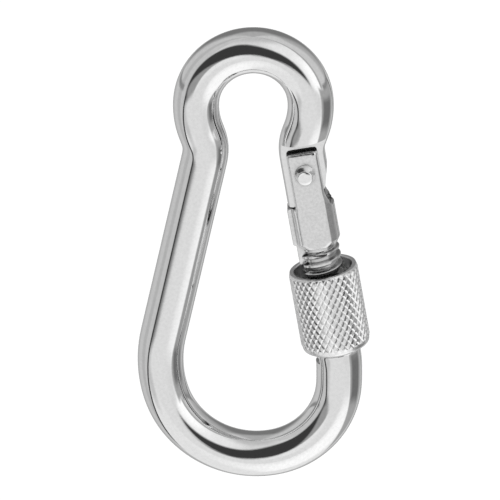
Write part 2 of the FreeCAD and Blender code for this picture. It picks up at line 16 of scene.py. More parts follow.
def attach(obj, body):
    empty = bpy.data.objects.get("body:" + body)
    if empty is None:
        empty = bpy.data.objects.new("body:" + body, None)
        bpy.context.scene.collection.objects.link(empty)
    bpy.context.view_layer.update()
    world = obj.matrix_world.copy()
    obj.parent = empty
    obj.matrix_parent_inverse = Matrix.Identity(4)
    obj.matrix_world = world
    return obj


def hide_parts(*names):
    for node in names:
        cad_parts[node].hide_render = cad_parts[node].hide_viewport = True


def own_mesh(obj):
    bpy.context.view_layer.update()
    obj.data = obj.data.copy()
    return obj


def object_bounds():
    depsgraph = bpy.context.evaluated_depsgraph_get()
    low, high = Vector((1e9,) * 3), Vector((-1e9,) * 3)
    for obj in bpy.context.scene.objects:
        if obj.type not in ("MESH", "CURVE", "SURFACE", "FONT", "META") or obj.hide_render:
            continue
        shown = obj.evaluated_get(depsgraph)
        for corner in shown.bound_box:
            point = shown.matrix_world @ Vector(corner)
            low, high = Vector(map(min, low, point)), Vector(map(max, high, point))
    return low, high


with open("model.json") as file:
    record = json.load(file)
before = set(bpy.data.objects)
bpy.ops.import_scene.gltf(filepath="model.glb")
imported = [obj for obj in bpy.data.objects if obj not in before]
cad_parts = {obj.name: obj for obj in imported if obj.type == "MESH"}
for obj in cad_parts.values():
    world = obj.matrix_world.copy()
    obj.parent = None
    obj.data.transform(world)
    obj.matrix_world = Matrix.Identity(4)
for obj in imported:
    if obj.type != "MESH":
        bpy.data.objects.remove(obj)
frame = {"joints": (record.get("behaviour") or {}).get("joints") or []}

CAD_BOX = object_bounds()
MM = 0.001
TO_DEGREES = 180 / math.pi
# how far a cutting tool reaches past the middle of the piece
CUT = 5

JOINTS = {joint["name"]: joint for joint in frame["joints"]}
PIVOT = Vector(JOINTS["gate_swing"]["pos_m"])
DOWN = Vector(JOINTS["plunger_slide"]["axis"]).normalized()
ACROSS = Vector((0, 1, 0))
OUTWARD = ACROSS.cross(-DOWN)
GATE_FRAME = Matrix.Translation(PIVOT) @ Matrix((
    (OUTWARD.x, 0, -DOWN.x, 0),
    (OUTWARD.y, 1, -DOWN.y, 0),
    (OUTWARD.z, 0, -DOWN.z, 0),
    (0, 0, 0, 1),
)) @ Matrix.Scale(MM, 4)
GATE_TILT = math.degrees(math.asin(DOWN.x))

# bar, from the top of the eye down both sides: radius and angle of each bend, and for
# a straight run no radius and its length
BAR_RADIUS = 3.0
EYE_RADIUS = 7.45
LEG_SIDE_BENDS = [
    (EYE_RADIUS, 85.4),
    (10.2, 28.5),
    (4.8, -36.3),
    (None, 25.6),
    (16.1, 29.9),
    (12.4, 82.7),
    (10.5, 79.8),
]
GATE_SIDE_BENDS = [(EYE_RADIUS, 85.4), (10.2, 28.5)]
GATE_BEND = 4.0
NOSE_BEND = 6.0
BAR_END_DEPTH = 25.65
BAR_END_ROUNDING = 0.2
TANG_HALF = 1.3
TANG_BORE_RADIUS = 1.04
SHOULDER_HEIGHT = 4.15
CAM_DEPTH = 4.8
CAM_OFFSET = 1.3
TOE_REACH, TOE_DEPTH = 2.24, 2.7
TANG_TAPER = 13.7

# gate
FLAT_HALF = 2.45
FLAT_DEPTH = 11.9
EAR_HALF = 2.05
EAR_TOP = 2.9
EAR_DEPTH = 4.8
EAR_RUNOUT = 1.7
SLOT_HALF = 1.35
SLOT_DEPTH = 5.1
PLUNGER_SLOT_DEPTH = 15.0
SPRING_BORE_DEPTH = 20.4
GATE_END = 25.2
PITCH = 1.25
THREAD_RADIUS = 2.67
THREAD_HEIGHT = 0.5
THREAD_GROOVE_Z = -24.4
# floor of a groove to each side, as a share of the pitch, and width of a flank to its height
THREAD_ROOT = 0.15
THREAD_FLANK = 0.62
# the neck between shaft and thread, and the heights where the shaft ends and the neck begins
NECK_RADIUS = 2.3
SHAFT_END, CHAMFER_END, NECK_TOP, NECK_BOTTOM = -9.9, -10.55, -10.62, -10.9
CHAMFER_RADIUS = 2.62

# latch between gate and bar, and its swing about the rivet
STEM_HALF, HEAD_HALF = 0.9, 1.6
HEAD_TOP, LATCH_BOTTOM = 26.3, 27.0
LATCH_OUTER, LATCH_INNER = 1.6, 2.45
LATCH_GAP, LATCH_STOP_GAP = 0.08, 0.04

# rivet, plunger and spring
RIVET_RADIUS = 1.0
RIVET_HEAD = 1.33
RIVET_TIP = 3.85
PLUNGER_HALF = 1.3
PLUNGER_PROUD, PLUNGER_STEP, PLUNGER_INNER = -3.2, -2.8, 1.1
PLUNGER_TOP, PLUNGER_LEDGE, PLUNGER_BOTTOM = -(CAM_DEPTH + 0.03), -10.1, -12.9
GUIDE_RADIUS, GUIDE_LENGTH, GUIDE_CHAMFER = 0.55, 1.5, 0.15
SPRING_BORE_RADIUS = 1.1
SPRING_RADIUS, WIRE_RADIUS, SPRING_COILS, SPRING_GAP = 0.85, 0.16, 9, 0.02

# sleeve
SLEEVE_RADIUS = 4.55
SLEEVE_TOP = -14.1
SLEEVE_BOTTOM = -25.28
MOUTH_RADIUS = 3.85
MOUTH_FLOOR = -17.75
FOOT_RADIUS = 3.12
FOOT_ROOF = -22.28
FOOT_ROUNDING = 0.62
BORE_RADIUS = 2.27
BORE_RELIEF = 0.5
# inside thread: half width of a ridge at its foot, width of its flank, and share of the height
RIDGE_HALF, RIDGE_FLANK, RIDGE_SHARE = 0.5, 0.31, 0.96
KNURLS = 32
KNURL_COLUMNS = 12
KNURL_DEPTH = 0.13
KNURL_LAND = 0.5
KNURL_ANGLE = 33.0
KNURL_MARGIN_TOP, KNURL_MARGIN_BOTTOM = 0.16, 0.6
RING_INNER, RING_OUTER = 2.9, 3.82
RING_BOTTOM, RING_TOP = -17.72, -17.37


# ---------------------------------------------------------------- meshes

def new_piece(name, points, faces, matrix=GATE_FRAME):
    """Mesh object from points in millimetres, placed by the matrix, faces turned outward."""
    mesh = bpy.data.meshes.new(name)
    mesh.from_pydata([tuple(p) for p in points], [], faces)
    mesh.transform(matrix)
    shell = bmesh.new()
    shell.from_mesh(mesh)
    bmesh.ops.remove_doubles(shell, verts=shell.verts, dist=1e-8)
    bmesh.ops.recalc_face_normals(shell, faces=shell.faces)
    shell.to_mesh(mesh)
    shell.free()
    obj = bpy.data.objects.new(name, mesh)
    bpy.context.scene.collection.objects.link(obj)
    return obj


def skin(name, rows, ring_of_rows=False, split=None):
    """Surface over rows of points, each row a closed ring; flat ends unless the rows close.

    split(i, j) gives the sign of the diagonal that halves a face, or 0 to leave it whole.
    """
    rows = np.asarray(rows, float)
    count, around = rows.shape[0], rows.shape[1]
    faces = []
    for j in range(count if ring_of_rows else count - 1):
        low, high = j * around, ((j + 1) % count) * around
        for i in range(around):
            k = (i + 1) % around
            a, b, c, d = low + i, low + k, high + k, high + i
            way = split(i, j) if split else 0
            if way > 0:
                faces += [(a, b, c), (a, c, d)]
            elif way < 0:
                faces += [(a, b, d), (b, c, d)]
            else:
                faces.append((a, b, c, d))
    if not ring_of_rows:
        faces.append(tuple(range(around)))
        faces.append(tuple(range((count - 1) * around, count * around)))
    return new_piece(name, rows.reshape(-1, 3), faces)


def turned(name, profile, axis="z", around=128, ring=True, shape=None, split=None):
    """Body of revolution; shape(angles, z, row) may add to the radius."""
    angles = np.arange(around) * 2 * math.pi / around
    rows = []
    for row, (radius, along) in enumerate(profile):
        r = np.full(around, radius, float)
        if shape is not None:
            r = r + shape(angles, along, row)
        ring_points = (r * np.cos(angles), r * np.sin(angles), np.full(around, along))
        if axis == "y":
            ring_points = (ring_points[0], ring_points[2], ring_points[1])
        rows.append(np.stack(ring_points, 1))
    return skin(name, rows, ring, split=split)


def prism(name, outline, start, end, plane="xz"):
    """Outline swept straight from start to end; plane names the outline's two axes."""
    order = {"xz": (0, 2, 1), "xy": (0, 1, 2), "yz": (1, 2, 0)}[plane]
    rows = []
    for at in (start, end):
        row = np.zeros((len(outline), 3))
        row[:, order[0]] = [p[0] for p in outline]
        row[:, order[1]] = [p[1] for p in outline]
        row[:, order[2]] = at
        rows.append(row)
    return skin(name, rows)


def rounded(start, corner, end, radius, steps=5):
    """Points of a fillet at a corner between two straight edges."""
    start, corner, end = (np.asarray(p, float) for p in (start, corner, end))
    back = (start - corner) / np.linalg.norm(start - corner)
    on = (end - corner) / np.linalg.norm(end - corner)
    half = math.acos(float(np.clip(back @ on, -1, 1))) / 2
    reach = radius / math.tan(half)
    middle = corner + (back + on) / np.linalg.norm(back + on) * radius / math.sin(half)
    first, last = corner + back * reach - middle, corner + on * reach - middle
    points = []
    for t in np.linspace(0, 1, steps):
        angle = 2 * (math.pi / 2 - half)
        a = math.sin((1 - t) * angle) / math.sin(angle)
        b = math.sin(t * angle) / math.sin(angle)
        points.append(tuple(middle + first * a + last * b))
    return points


def rounded_outline(corners, radii, steps=5):
    """Closed outline; each corner gets its own fillet, or none for a radius of 0."""
    points = []
    count = len(corners)
    for i, (corner, radius) in enumerate(zip(corners, radii)):
        if radius > 0:
            before, after = corners[i - 1], corners[(i + 1) % count]
            points += rounded(before, corner, after, radius, steps)
        else:
            points.append(corner)
    return points


def combine(target, tools, operation):
    """Exact boolean of the target with each tool; the tools are used up."""
    group = bpy.data.collections.new("tools")
    for tool in tools:
        group.objects.link(tool)
    modifier = target.modifiers.new("combine", "BOOLEAN")
    modifier.operation = operation
    modifier.solver = "EXACT"
    modifier.operand_type = "COLLECTION"
    modifier.collection = group
    apply_modifiers(target)
    for tool in tools:
        bpy.data.objects.remove(tool)
    bpy.data.collections.remove(group)


def apply_modifiers(obj):
    """Mesh of the object with its modifiers in it."""
    bpy.context.view_layer.update()
    evaluated = obj.evaluated_get(bpy.context.evaluated_depsgraph_get())
    mesh = bpy.data.meshes.new_from_object(evaluated)
    obj.modifiers.clear()
    obj.data = mesh


def soften(obj, angle_deg):
    """Smooth shading that stays crisp at edges sharper than the angle."""
    shell = bmesh.new()
    shell.from_mesh(obj.data)
    bmesh.ops.remove_doubles(shell, verts=shell.verts, dist=1e-7)
    bmesh.ops.dissolve_degenerate(shell, edges=shell.edges, dist=1e-8)
    shell.to_mesh(obj.data)
    shell.free()
    obj.data.shade_smooth()
    obj.data.set_sharp_from_angle(angle=math.radians(angle_deg))


def smooth_max(a, b, width):
    """Larger of two fields, blended where they are closer than the width."""
    near = np.maximum(width - np.abs(a - b), 0) / width
    return np.maximum(a, b) + near * near * width / 4


def smooth_min(a, b, width):
    return -smooth_max(-a, -b, width)


# ---------------------------------------------------------------- bar

def turn(direction, angle_deg):
    a = math.radians(angle_deg)
    x, z = direction
    return (x * math.cos(a) - z * math.sin(a), x * math.sin(a) + z * math.cos(a))


class Route:
    """Points along straight runs and tangent bends in the XZ plane, in millimetres."""

    def __init__(self, point, direction, step):
        self.points = [point]
        self.direction = direction
        self.step = step

    def straight(self, length):
        x, z = self.points[-1]
        dx, dz = self.direction
        count = max(1, round(length / self.step))
        for i in range(1, count + 1):
            self.points.append((x + dx * length * i / count, z + dz * length * i / count))

    def bend(self, radius, angle_deg):
        side = 1.0 if angle_deg > 0 else -1.0
        x, z = self.points[-1]
        dx, dz = self.direction
        centre = (x - dz * radius * side, z + dx * radius * side)
        spoke = (x - centre[0], z - centre[1])
        count = max(1, round(radius * math.radians(abs(angle_deg)) / self.step))
        for i in range(1, count + 1):
            px, pz = turn(spoke, angle_deg * i / count)
            self.points.append((centre[0] + px, centre[1] + pz))
        self.direction = turn(self.direction, angle_deg)


def to_gate(points):
    """Points (x, z) of the part frame, in millimetres, in the gate frame."""
    back = GATE_FRAME.inverted()
    result = []
    for x, z in points:
        there = back @ Vector((x * MM, 0, z * MM))
        result.append((there.x, there.z))
    return result


def bar_centre_line(step=0.25):
    """From the end of the bar below the gate, round the hook, to the end of the tang."""
    right = Route((0.0, EYE_RADIUS), (1.0, 0.0), step)
    for radius, angle in GATE_SIDE_BENDS:
        right.bend(radius, -angle)
    total = sum(angle for _, angle in GATE_SIDE_BENDS)
    right.bend(GATE_BEND, total - 90 + GATE_TILT)
    pivot = (PIVOT.x / MM, PIVOT.z / MM)
    x, z = right.points[-1]
    right.straight(math.hypot(pivot[0] - x, pivot[1] - z) + CAM_DEPTH + 0.8)
    left = Route((0.0, EYE_RADIUS), (-1.0, 0.0), step)
    for radius, angle in LEG_SIDE_BENDS:
        if radius is None:
            left.straight(angle)
        else:
            left.bend(radius, angle)
    reach = (left.points[-1][0] - pivot[0]) / DOWN.x
    meet = pivot[1] + reach * DOWN.z
    tangent = NOSE_BEND * math.tan(math.radians(GATE_TILT / 2))
    left.straight(meet - tangent - left.points[-1][1])
    left.bend(NOSE_BEND, GATE_TILT)
    left.straight(reach - tangent - BAR_END_DEPTH)
    return to_gate(list(reversed(left.points)) + right.points[1:])


def eased(line, width):
    """The line with its changes of curvature spread over about the given width."""
    line = np.asarray(line, float)
    step = np.linalg.norm(np.diff(line, axis=0), axis=1)
    along = np.concatenate([[0], np.cumsum(step)])
    even = np.linspace(0, along[-1], len(line))
    line = np.stack([np.interp(even, along, line[:, k]) for k in (0, 1)], 1)
    spacing = even[1]
    reach = int(3 * width / spacing)
    taps = np.exp(-0.5 * (np.arange(-reach, reach + 1) * spacing / width) ** 2)
    taps /= taps.sum()
    before = 2 * line[0] - line[reach:0:-1]
    after = 2 * line[-1] - line[-2:-reach - 2:-1]
    padded = np.concatenate([before, line, after])
    return np.stack([np.convolve(padded[:, k], taps, "valid") for k in (0, 1)], 1)


def bar_tube():
    """Round bar along its centre line, its lower end rounded where it was cut off."""
    line = eased(bar_centre_line(), 0.6)
    along = np.gradient(line, axis=0)
    along /= np.linalg.norm(along, axis=1)[:, None]
    side = np.stack([-along[:, 1], along[:, 0]], 1)
    rows = []
    for a in np.radians((90, 65, 40, 15, 0)):
        inset = BAR_END_ROUNDING * (1 - math.sin(a))
        fall = BAR_END_ROUNDING * (1 - math.cos(a))
        rows.append((line[0] + along[0] * inset, side[0], BAR_RADIUS - fall))
    rows += [(point, way, BAR_RADIUS) for point, way in zip(line[2:], side[2:])]
    angles = np.arange(144) * 2 * math.pi / 144
    rings = []
    for point, way, radius in rows:
        ring = np.zeros((len(angles), 3))
        ring[:, 0] = point[0] + way[0] * radius * np.cos(angles)
        ring[:, 1] = radius * np.sin(angles)
        ring[:, 2] = point[1] + way[1] * radius * np.cos(angles)
        rings.append(ring)
    return skin("hook_bar", rings)


def cam_point(angle_deg):
    """Where tang and plunger touch with the gate open by this angle."""
    a = math.radians(angle_deg)
    x, z = -CAM_OFFSET, -(CAM_DEPTH + CAM_OFFSET * a)
    return x * math.cos(a) + z * math.sin(a), -x * math.sin(a) + z * math.cos(a)


def latch_section(grow):
    """Half-turn section of the T latch as (y, depth), grown by a clearance."""
    stem, head = STEM_HALF + grow, HEAD_HALF + grow
    shoulder, bottom = HEAD_TOP - grow, LATCH_BOTTOM + grow
    top = GATE_END - 0.4 if grow == 0 else BAR_END_DEPTH - 1.2
    corners = [(-stem, top), (-stem, shoulder), (-head, shoulder), (-head, bottom),
               (head, bottom), (head, shoulder), (stem, shoulder), (stem, top)]
    radii = [0, 0.08, 0.1, 0.1, 0.1, 0.1, 0.08, 0]
    return rounded_outline(corners, radii, 4)


def latch_sweep(name, grow, outer, inner):
    """T section swung about the rivet's axis between two sideways reaches."""
    angles = [math.asin(outer / HEAD_TOP), -math.asin(inner / HEAD_TOP)]
    rows = []
    for a in np.linspace(angles[0], angles[1], 14):
        rows.append([(d * math.sin(a), y, -d * math.cos(a)) for y, d in latch_section(grow)])
    return skin(name, rows)


def make_bar():
    """Bar with its tang milled flat and bored for the rivet, and the latch's slot."""
    bar = bar_tube()
    low = -(CAM_DEPTH + 1.6)
    sides = []
    for way in (-1, 1):
        outline = [(-CUT, low), (CUT, low), (CUT, SHOULDER_HEIGHT), (-CUT, SHOULDER_HEIGHT)]
        sides.append(prism("side", outline, way * TANG_HALF, way * CUT))
    clear = BAR_RADIUS + 0.15
    side_top = -TOE_DEPTH + (clear - TOE_REACH) / math.tan(math.radians(TANG_TAPER))
    cam = [cam_point(a) for a in np.linspace(28, 0, 15)]
    toe = rounded(cam[-1], (TOE_REACH, -TOE_DEPTH), (clear, side_top), 0.9, 8)
    outline = [(-CUT, cam[0][1]), *cam, *toe, (clear, side_top), (CUT, side_top),
               (CUT, low - 1), (-CUT, low - 1)]
    end = prism("end", outline, -CUT, CUT)
    hole = [(TANG_BORE_RADIUS, -CUT), (TANG_BORE_RADIUS, CUT)]
    bore = turned("bore", hole, "y", 64, ring=False)
    slot = latch_sweep("slot", LATCH_GAP, LATCH_OUTER + LATCH_STOP_GAP, 4.6)
    combine(bar, sides + [end, bore, slot], "DIFFERENCE")
    soften(bar, 25)
    return bar


# ---------------------------------------------------------------- gate

def thread_radius(turns, outer, depth):
    """Radius of the thread at this share of a pitch above the middle of a groove."""
    away = abs((turns + 0.5) % 1 - 0.5) * PITCH
    root = THREAD_ROOT * PITCH
    climb = min(max((away - root) / (THREAD_FLANK * depth), 0), 1)
    climb = climb * climb * (3 - 2 * climb) * 0.5 + climb * 0.5
    return outer - depth * (1 - climb)


def threaded_rod(name, outer, depth, low, high, fade):
    """Threaded bar between two heights, on a grid that follows the helix.

    It fades from the thread at the first height in fade to the neck at the second.
    """
    around, per_pitch = 96, 20
    first = math.floor((low - THREAD_GROOVE_Z) / PITCH) - 2
    turns = math.ceil((high - low) / PITCH) + 4
    points = []
    for k in range(around * turns + 1):
        angle = 2 * math.pi * k / around
        for b in range(per_pitch):
            z = THREAD_GROOVE_Z + PITCH * (first + k / around + b / per_pitch)
            r = thread_radius(b / per_pitch, outer, depth)
            share = min(max((z - fade[0]) / (fade[1] - fade[0]), 0), 1)
            r += (NECK_RADIUS - r) * share * share * (3 - 2 * share)
            points.append((r * math.cos(angle), r * math.sin(angle), z))
    faces = []
    for k in range(around * turns):
        for b in range(per_pitch):
            above = (k * per_pitch + b + 1, (k + 1) * per_pitch + b + 1)
            if b == per_pitch - 1:
                if k + around >= around * turns:
                    continue
                above = ((k + around) * per_pitch, (k + 1 + around) * per_pitch)
            faces.append((k * per_pitch + b, (k + 1) * per_pitch + b, above[1], above[0]))
    rod = new_piece(name, points, faces, Matrix.Identity(4))
    shell = bmesh.new()
    shell.from_mesh(rod.data)
    for height, way in ((low, -1), (high, 1)):
        everything = shell.verts[:] + shell.edges[:] + shell.faces[:]
        bmesh.ops.bisect_plane(
            shell, geom=everything, dist=1e-6, plane_co=(0, 0, height),
            plane_no=(0, 0, way), clear_outer=True,
        )
    edges = [e for e in shell.edges if e.is_boundary]
    bmesh.ops.edgeloop_fill(shell, edges=edges)
    bmesh.ops.recalc_face_normals(shell, faces=shell.faces)
    shell.to_mesh(rod.data)
    shell.free()
    rod.data.transform(GATE_FRAME)
    return rod


def gate_field(x, y, z):
    """Negative inside the upper part of the gate, which is turned and then milled."""
    full = np.interp(
        z, [NECK_BOTTOM, NECK_TOP, CHAMFER_END, SHAFT_END],
        [NECK_RADIUS, NECK_RADIUS, CHAMFER_RADIUS, BAR_RADIUS]
    )
    field = np.hypot(x, y) - full
    flat = np.abs(y) - FLAT_HALF
    drop = np.clip(-(z + EAR_DEPTH - EAR_RUNOUT), 0, EAR_RUNOUT)
    runout = EAR_RUNOUT - np.sqrt(EAR_RUNOUT ** 2 - drop ** 2)
    ear = np.maximum(x - EAR_HALF - runout, -x - EAR_HALF)
    ear = smooth_min(ear, z + EAR_DEPTH, 0.15)
    field = smooth_max(field, flat, 0.22)
    field = smooth_max(field, ear, 0.35)
    return smooth_max(field, z - EAR_TOP, 0.3)


def gate_block():
    """The gate's upper part: its radius is found by halving at each angle and height."""
    heights = np.unique(np.round(np.concatenate([
        np.linspace(EAR_TOP - 0.001, EAR_TOP - 0.14, 8),
        np.linspace(EAR_TOP - 0.14, -EAR_DEPTH + 0.12, 24),
        np.linspace(-EAR_DEPTH + 0.12, -EAR_DEPTH - 0.2, 13),
        np.linspace(-EAR_DEPTH - 0.2, SHAFT_END, 20),
        np.linspace(SHAFT_END, CHAMFER_END, 10),
        [NECK_TOP, NECK_BOTTOM],
    ]), 4))[::-1]
    around = 360
    angles = np.arange(around) * 2 * math.pi / around
    cos, sin = np.cos(angles)[None, :], np.sin(angles)[None, :]
    z = heights[:, None] + 0 * cos
    low, high = np.full(z.shape, 0.2), np.full(z.shape, 3.3)
    for _ in range(34):
        middle = (low + high) / 2
        inside = gate_field(middle * cos, middle * sin, z) < 0
        low, high = np.where(inside, middle, low), np.where(inside, high, middle)
    rows = np.stack([low * cos, low * sin, z], 2)
    return skin("gate_arm", rows)


def slot_tool():
    """Cutter of the plunger's slot: a round lower end, and edges broken on the outside."""
    middle = -(PLUNGER_SLOT_DEPTH - SLOT_HALF)
    rows = []
    for x, grow in ((1.2, 0.0), (-2.6, 0.0), (-3.2, 0.6)):
        half = SLOT_HALF + grow
        arc = [(half * math.cos(a), middle + half * math.sin(a))
               for a in np.linspace(math.pi, 2 * math.pi, 33)]
        outline = [(-half, -SLOT_DEPTH + 0.6), *arc, (half, -SLOT_DEPTH + 0.6)]
        rows.append([(x, y, z) for y, z in outline])
    return skin("plunger_slot", rows)


def make_gate():
    """Turned and milled arm with thread and latch, slotted for tang and plunger."""
    gate = gate_block()
    screw = threaded_rod(
        "screw", THREAD_RADIUS, THREAD_HEIGHT, -GATE_END, -10.5, fade=(-11.35, -10.95)
    )
    latch = latch_sweep("latch", 0.0, LATCH_OUTER, LATCH_INNER)
    combine(gate, [screw, latch], "UNION")
    flats = []
    for way in (-1, 1):
        runout = [(way * FLAT_HALF, 0), (way * FLAT_HALF, -FLAT_DEPTH + 0.5),
                  (way * (FLAT_HALF + 0.12), -FLAT_DEPTH + 0.1),
                  (way * (FLAT_HALF + 0.6), -FLAT_DEPTH), (way * 4, 0)]
        flats.append(prism("flat", runout, -4, 4, plane="yz"))
    # between the ears, flared where it comes out at each side
    wide, inside, outside = SLOT_HALF + 0.27, 1.97, 2.3
    side = [(outside, wide), (CUT, wide)]
    corner = [(inside, SLOT_HALF)]
    right = [(x, -y) for x, y in corner + side] + [(x, y) for x, y in reversed(corner + side)]
    left = [(-x, -y) for x, y in right]
    ears = prism("ears", left[3:] + right + left[:3], -EAR_DEPTH, 4, plane="xy")
    lower = [(-CUT, -SLOT_HALF), (CUT, -SLOT_HALF), (CUT, SLOT_HALF), (-CUT, SLOT_HALF)]
    base = prism("base", lower, -SLOT_DEPTH, -EAR_DEPTH + 0.01, plane="xy")
    crown = [(-SLOT_HALF, EAR_TOP - 0.1), (SLOT_HALF, EAR_TOP - 0.1),
             (1.7, EAR_TOP + 0.25), (-1.7, EAR_TOP + 0.25)]
    top = prism("top", crown, -CUT, CUT, plane="yz")
    bore = turned(
        "bore", [(SPRING_BORE_RADIUS, -SPRING_BORE_DEPTH), (SPRING_BORE_RADIUS, -SLOT_DEPTH)],
        "z", 48, ring=False
    )
    hole = [(RIVET_RADIUS, -CUT), (RIVET_RADIUS, CUT)]
    rivet = turned("rivet_hole", hole, "y", 64, ring=False)
    combine(gate, flats + [ears, base, top, slot_tool(), bore, rivet], "DIFFERENCE")
    soften(gate, 28)
    return gate


# ---------------------------------------------------------------- rivet, plunger, spring

def make_rivet():
    """Headed over at both ends, with a small crown where the peen has struck."""
    # radius, and distance below the tip
    crown = [(0.001, 0), (0.5, 0.005), (0.82, 0.02), (0.92, 0.05), (0.97, 0.11), (0.99, 0.19)]
    flank = [(1.04, 0.43), (1.17, 0.93), (1.29, 1.3), (RIVET_HEAD, 1.36)]
    half = [(r, RIVET_TIP - below) for r, below in crown + flank]
    half += [(RIVET_HEAD, FLAT_HALF), (RIVET_RADIUS, FLAT_HALF)]
    profile = [(r, -y) for r, y in half] + [(r, y) for r, y in reversed(half)]
    rivet = turned("rivet_pin", profile, "y", 96, ring=False)
    soften(rivet, 35)
    return rivet


def make_plunger():
    """Stepped block that the tang pushes down, with a guide for the spring below it."""
    outline = rounded_outline(
        [(PLUNGER_STEP, PLUNGER_BOTTOM), (PLUNGER_INNER, PLUNGER_BOTTOM),
         (PLUNGER_INNER, PLUNGER_TOP), (PLUNGER_PROUD, PLUNGER_TOP),
         (PLUNGER_PROUD, PLUNGER_LEDGE), (PLUNGER_STEP, PLUNGER_LEDGE)],
        [0.4, 0.1, 0.1, 0.38, 0.3, 0.1], 8,
    )
    plunger = prism("plunger_block", outline, -PLUNGER_HALF, PLUNGER_HALF)
    bevel = plunger.modifiers.new("edges", "BEVEL")
    bevel.width = 0.12 * MM
    bevel.segments = 3
    bevel.limit_method = "ANGLE"
    bevel.angle_limit = math.radians(60)
    apply_modifiers(plunger)
    guide_end = PLUNGER_BOTTOM - GUIDE_LENGTH
    profile = [(GUIDE_RADIUS, PLUNGER_BOTTOM + 0.3), (GUIDE_RADIUS, guide_end + GUIDE_CHAMFER),
               (GUIDE_RADIUS - GUIDE_CHAMFER, guide_end)]
    guide = turned("guide", profile, "z", 48, ring=False)
    combine(plunger, [guide], "UNION")
    soften(plunger, 30)
    return plunger


def make_spring():
    """Evenly spaced coils from the floor of the bore to the plunger."""
    top = PLUNGER_BOTTOM - WIRE_RADIUS - SPRING_GAP
    bottom = -SPRING_BORE_DEPTH + WIRE_RADIUS + SPRING_GAP
    rows = []
    steps, around = SPRING_COILS * 40, 14
    for k in range(steps + 1):
        share = k / steps
        angle = 2 * math.pi * SPRING_COILS * share
        ring = []
        for j in range(around):
            a = 2 * math.pi * j / around
            r = SPRING_RADIUS + WIRE_RADIUS * math.cos(a)
            z = bottom + (top - bottom) * share + WIRE_RADIUS * math.sin(a)
            ring.append((r * math.cos(angle), r * math.sin(angle), z))
        rows.append(ring)
    spring = skin("spring_coil", rows)
    soften(spring, 40)
    return spring


# ---------------------------------------------------------------- sleeve

def groove_distance(column, row, way):
    """0 in the grooves that lean this way, and 1 half way between two of them."""
    return np.abs(((column + way * row) / KNURL_COLUMNS + 0.5) % 1 - 0.5) * 2


def make_sleeve():
    """Knurled outside, and inside a mouth for the ring, the thread, and a foot for the bar."""
    columns = KNURLS * KNURL_COLUMNS
    row_step = 2 * math.pi * SLEEVE_RADIUS / columns / math.tan(math.radians(KNURL_ANGLE))
    knurl_top = SLEEVE_TOP - KNURL_MARGIN_TOP
    knurl_bottom = SLEEVE_BOTTOM + KNURL_MARGIN_BOTTOM
    knurl_rows = int((knurl_top - knurl_bottom) / row_step)
    root = SLEEVE_RADIUS - KNURL_DEPTH
    outer = []
    for angle in np.radians((0, 18, 36, 54, 72)):
        outer.append((
            root - FOOT_ROUNDING * (1 - math.sin(angle)),
            SLEEVE_BOTTOM + FOOT_ROUNDING * (1 - math.cos(angle)),
        ))
    first_knurl = len(outer)
    for j in range(knurl_rows + 1):
        outer.append((root, knurl_top - row_step * (knurl_rows - j)))
    last_knurl = len(outer) - 1
    outer += [(root, SLEEVE_TOP - 0.1), (root - 0.03, SLEEVE_TOP - 0.04),
              (root - 0.09, SLEEVE_TOP - 0.01), (root - 0.15, SLEEVE_TOP)]
    inner = [(MOUTH_RADIUS + 0.14, SLEEVE_TOP), (MOUTH_RADIUS + 0.04, SLEEVE_TOP - 0.04),
             (MOUTH_RADIUS, SLEEVE_TOP - 0.14), (MOUTH_RADIUS, MOUTH_FLOOR),
             (BORE_RADIUS + BORE_RELIEF, MOUTH_FLOOR)]
    first_thread = len(outer) + len(inner)
    bore_top, bore_bottom = MOUTH_FLOOR - BORE_RELIEF, FOOT_ROOF + BORE_RELIEF
    thread_rows = 64
    for j in range(thread_rows + 1):
        inner.append((BORE_RADIUS, bore_top + (bore_bottom - bore_top) * j / thread_rows))
    last_thread = len(outer) + len(inner) - 1
    inner += [(BORE_RADIUS + BORE_RELIEF, FOOT_ROOF), (FOOT_RADIUS, FOOT_ROOF),
              (FOOT_RADIUS, SLEEVE_BOTTOM + 0.14), (FOOT_RADIUS + 0.05, SLEEVE_BOTTOM + 0.04),
              (FOOT_RADIUS + 0.15, SLEEVE_BOTTOM)]
    fade_rows = 3

    def shape(angles, z, row):
        if first_knurl <= row <= last_knurl:
            column = np.arange(columns)
            a = groove_distance(column, row - first_knurl, -1)
            b = groove_distance(column, row - first_knurl, 1)
            edge = min(row - first_knurl, last_knurl - row) / fade_rows
            return KNURL_DEPTH * np.minimum(np.minimum(a, b) / KNURL_LAND, 1) * min(edge, 1)
        if first_thread <= row <= last_thread:
            turns = (z - THREAD_GROOVE_Z) / PITCH - angles / (2 * math.pi) + 0.5
            away = np.abs((turns + 0.5) % 1 - 0.5) * PITCH
            ridge = np.clip((RIDGE_HALF - away) / RIDGE_FLANK, 0, 1)
            return THREAD_HEIGHT * ridge * RIDGE_SHARE
        return 0.0

    def split(column, row):
        if not first_knurl <= row < last_knurl:
            return 0
        a = groove_distance(column, row - first_knurl, -1)
        b = groove_distance(column + 1, row - first_knurl, 1)
        return 1 if a < b else -1

    sleeve = turned("knurled_sleeve", outer + inner, "z", columns, True, shape, split)
    soften(sleeve, 16)
    return sleeve


def make_ring():
    """Ring in the sleeve's mouth, on the floor of it."""
    corners = [(RING_INNER, RING_BOTTOM), (RING_OUTER, RING_BOTTOM), (RING_OUTER, RING_TOP),
               (RING_INNER, RING_TOP)]
    ring = turned("sleeve_ring", rounded_outline(corners, [0.06] * 4, 4), "z", 96)
    soften(ring, 35)
    return ring


# ---------------------------------------------------------------- materials

